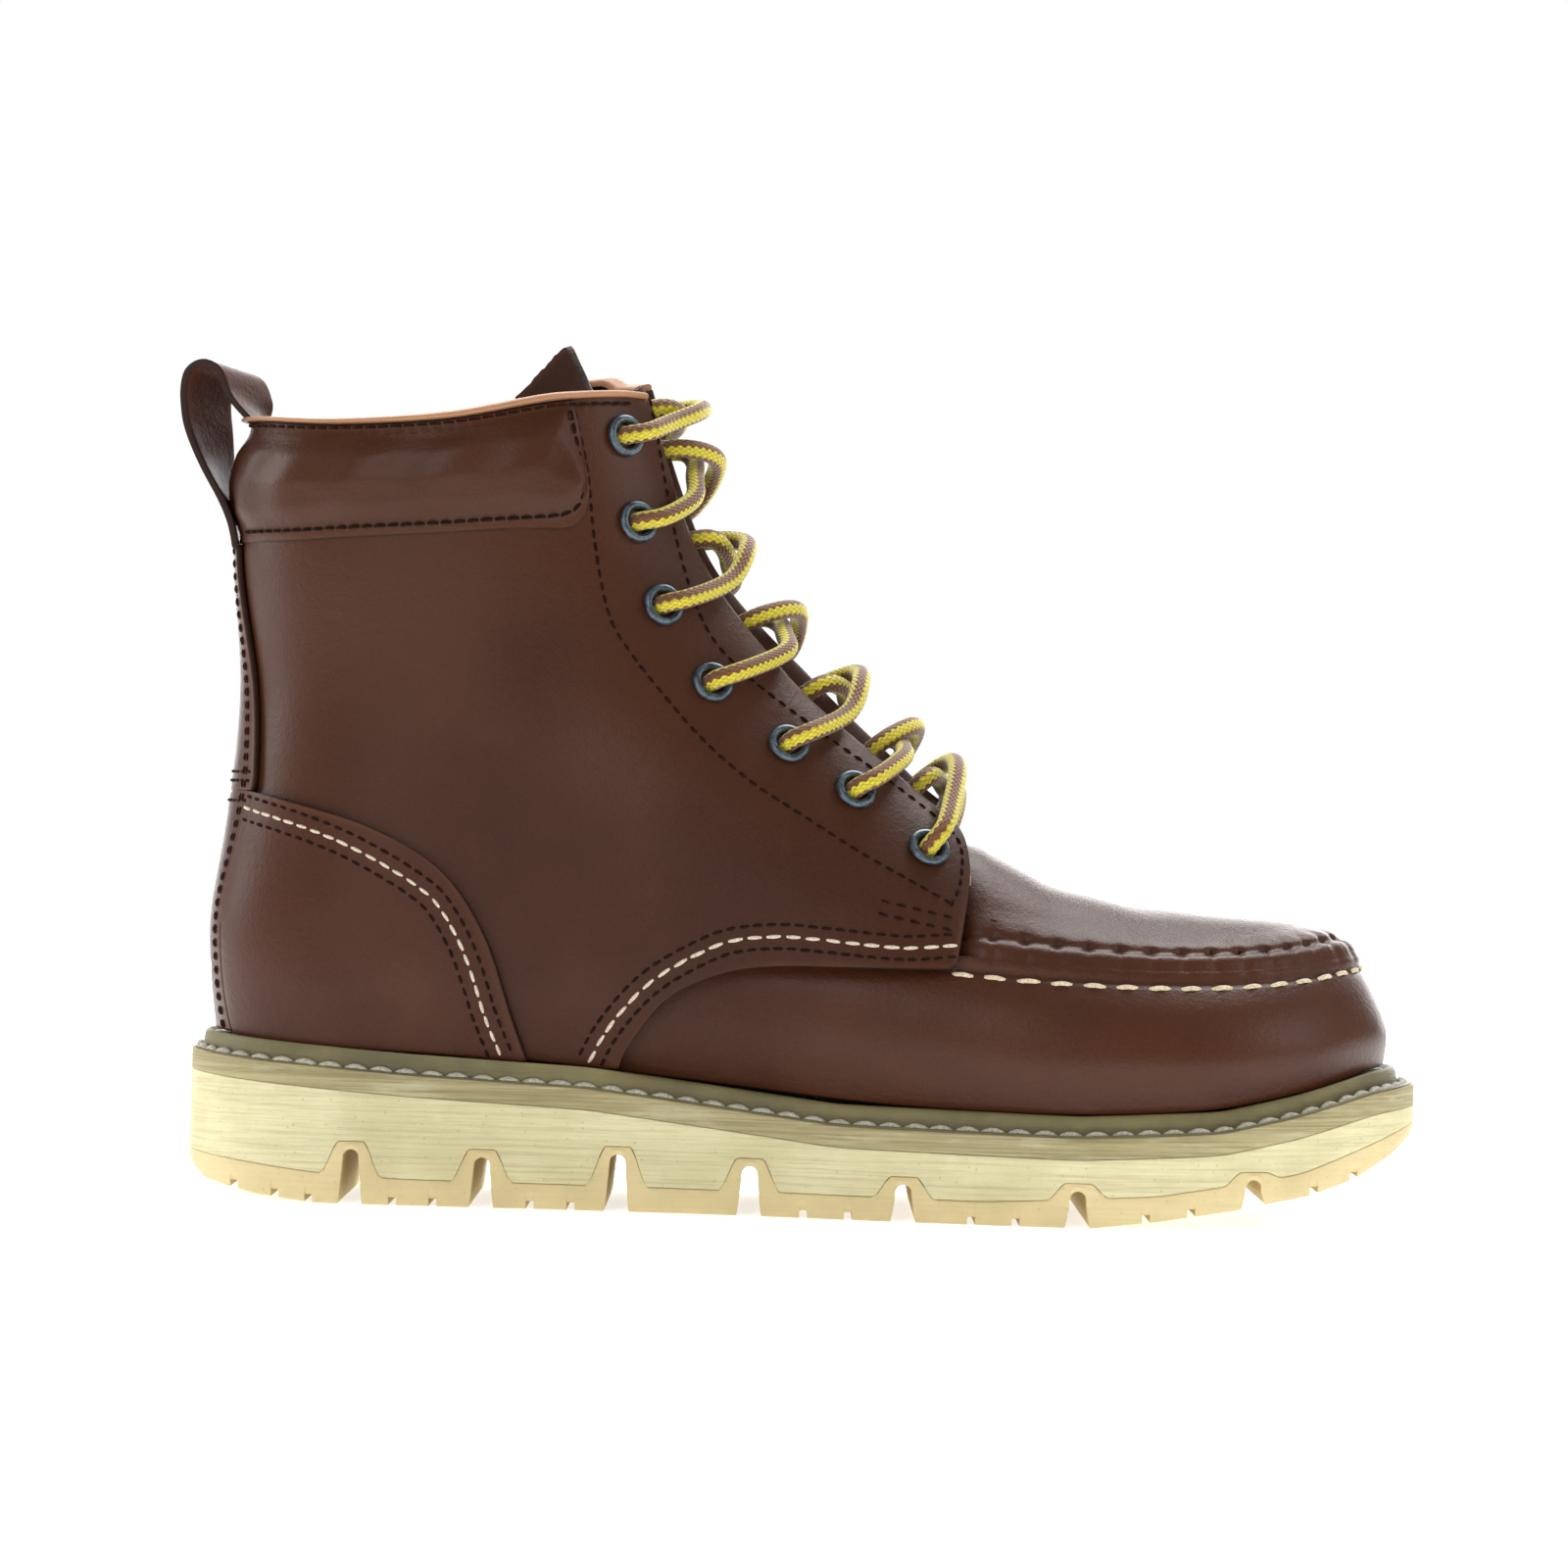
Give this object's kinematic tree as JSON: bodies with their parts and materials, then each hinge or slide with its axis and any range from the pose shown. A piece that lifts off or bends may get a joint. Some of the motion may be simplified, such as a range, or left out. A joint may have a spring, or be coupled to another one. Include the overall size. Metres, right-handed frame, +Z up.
{
  "type": "steel toe work boot",
  "caption": "Ankle-high lace-up leather work boot with a raised toe seam, eyeleted facing, padded collar, heel pull loop, hidden steel toe cap and grooved wedge sole.",
  "frame": {"origin": "on the ground under the middle of the boot's box", "axes": "+X towards the toe, +Z up, -Y the outer side of a right boot"},
  "size_m": [0.3088, 0.111, 0.2072],
  "materials": {
    "leather": "smooth reddish brown, waxed, semi gloss",
    "binding": "tan, soft, matt",
    "lining": "brushed",
    "foam": "open cell",
    "fibreboard": "pressed fibre",
    "steel": "pressed sheet",
    "enamel": "dark blue-grey enamel",
    "lace": "braided, yellow and brown",
    "aglet": "clear shrunk film",
    "welt": "olive, satin",
    "slip_sole": "streaked tan",
    "midsole_foam": "cream, fine cell",
    "outsole_rubber": "cream, matt",
    "cork": "ground cork",
    "footbed": "brushed textile on foam"
  },
  "bodies": {
    "boot": {"outsole": "outsole_rubber", "midsole": "midsole_foam", "slip_sole": "slip_sole", "welt": "welt", "insole_board": "fibreboard", "cork_filler": "cork", "shank": "steel", "quarter_lateral": "leather", "quarter_medial": "leather", "counter_lateral": "leather", "counter_medial": "leather", "eyestay_lateral": "fibreboard", "eyestay_medial": "fibreboard", "heel_counter": "fibreboard", "backstay_lower": "leather", "backstay_upper": "leather", "collar_cover": "leather", "collar_foam": "foam", "shaft_lining": "lining", "collar_binding": "binding", "vamp_wall": "leather", "vamp_plug": "leather", "toe_cap": "steel", "vamp_lining": "lining", "eyelet_lateral_1": "enamel", "eyelet_lateral_2": "enamel", "eyelet_lateral_3": "enamel", "eyelet_lateral_4": "enamel", "eyelet_lateral_5": "enamel", "eyelet_lateral_6": "enamel", "eyelet_lateral_7": "enamel", "eyelet_medial_1": "enamel", "eyelet_medial_2": "enamel", "eyelet_medial_3": "enamel", "eyelet_medial_4": "enamel", "eyelet_medial_5": "enamel", "eyelet_medial_6": "enamel", "eyelet_medial_7": "enamel", "pull_loop_outer_end": "leather", "pull_loop_inner_end": "leather", "lace": "lace", "aglet_1": "aglet", "aglet_2": "aglet"},
    "tongue": {"tongue": "leather"},
    "pull_loop": {"pull_loop": "leather"},
    "footbed": {"footbed": "footbed"}
  },
  "joints": [
    {"name": "tongue_fold", "type": "hinge", "parent": "boot", "child": "tongue", "pos_m": [0.04, 0, 0.085], "axis": [0, 1, 0], "range_deg": [-15, 0]},
    {"name": "pull_loop_flip", "type": "hinge", "parent": "boot", "child": "pull_loop", "pos_m": [-0.1412, 0, 0.1815], "axis": [0, 1, 0], "range_deg": [-18, 4]},
    {"name": "footbed_lift", "type": "hinge", "parent": "boot", "child": "footbed", "pos_m": [0.1376, 0, 0.037], "axis": [0, 1, 0], "range_deg": [0, 8]}
  ]
}
